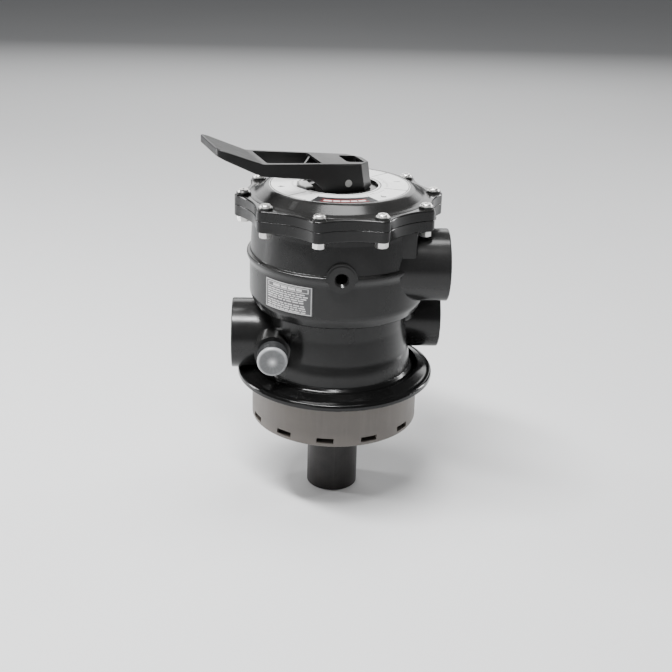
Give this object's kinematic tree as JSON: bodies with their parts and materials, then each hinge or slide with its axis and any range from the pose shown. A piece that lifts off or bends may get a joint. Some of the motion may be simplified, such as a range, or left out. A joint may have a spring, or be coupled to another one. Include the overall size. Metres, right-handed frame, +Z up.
{
  "type": "multiport valve",
  "caption": "Top-mount multiport valve: black body with three pipe ports, scalloped bolted cover, press-and-turn lever, sight glass, tank flange and slotted diffuser cup.",
  "frame": {"origin": "centre of the tank flange's sealing face, on the valve's axis", "axes": "+Z up the valve's axis towards the handle; +X along the pump port; -Y the front, with the gauge port and the sight glass"},
  "size_m": [0.2231, 0.184, 0.3457],
  "materials": {
    "body_plastic": "satin",
    "cover_plastic": "semi-gloss",
    "handle_plastic": "satin",
    "rotor_plastic": "satin",
    "pipe_plastic": "satin",
    "grey_plastic": "matte",
    "white_plastic": "satin",
    "pin_plastic": "satin",
    "stainless": "polished",
    "spring_steel": "drawn wire",
    "rubber": "matte",
    "clear_plastic": "clear moulded plastic",
    "label": "printed silver-white film",
    "panel": "printed dark film",
    "rating": "printed film"
  },
  "bodies": {
    "casing": {"valve_body": "body_plastic", "cover": "cover_plastic", "spider_gasket": "rubber", "cover_o_ring": "rubber", "cover_screws": "stainless", "screw_washers": "stainless", "cover_nuts": "stainless", "position_label": "label", "name_panel": "panel", "rating_label": "rating", "tank_seal": "rubber", "diffuser_ring": "grey_plastic", "centre_pipe": "pipe_plastic", "pipe_o_ring": "rubber", "sight_glass": "clear_plastic", "sight_gasket": "rubber", "upper_spring_washer": "white_plastic", "wear_washer": "white_plastic"},
    "selector": {"index_plate": "cover_plastic", "pointer": "label"},
    "rotor": {"rotor": "rotor_plastic", "stem_o_rings": "rubber", "lower_spring_washer": "white_plastic", "rotor_spring": "spring_steel", "handle_pin": "pin_plastic"},
    "lever": {"handle": "handle_plastic"}
  },
  "joints": [
    {"name": "selector_turn", "type": "hinge", "parent": "casing", "child": "selector", "pos_m": [0, 0, 0.18], "axis": [0, 0, 1], "continuous": true},
    {"name": "rotor_lift", "type": "slide", "parent": "selector", "child": "rotor", "axis": [0, 0, 1], "range_m": [0, 0.004], "stiffness_N_per_m": 120, "springref_m": -0.005, "deforming": ["rotor_spring"]},
    {"name": "handle_press", "type": "hinge", "parent": "rotor", "child": "lever", "pos_m": [0, 0, 0.1884], "axis": [0.309, -0.9511, 0], "range_deg": [0, 14]}
  ],
  "couplings": [
    {"joint": "rotor_lift", "follows": "handle_press", "m_per_rad": 0.0158}
  ]
}
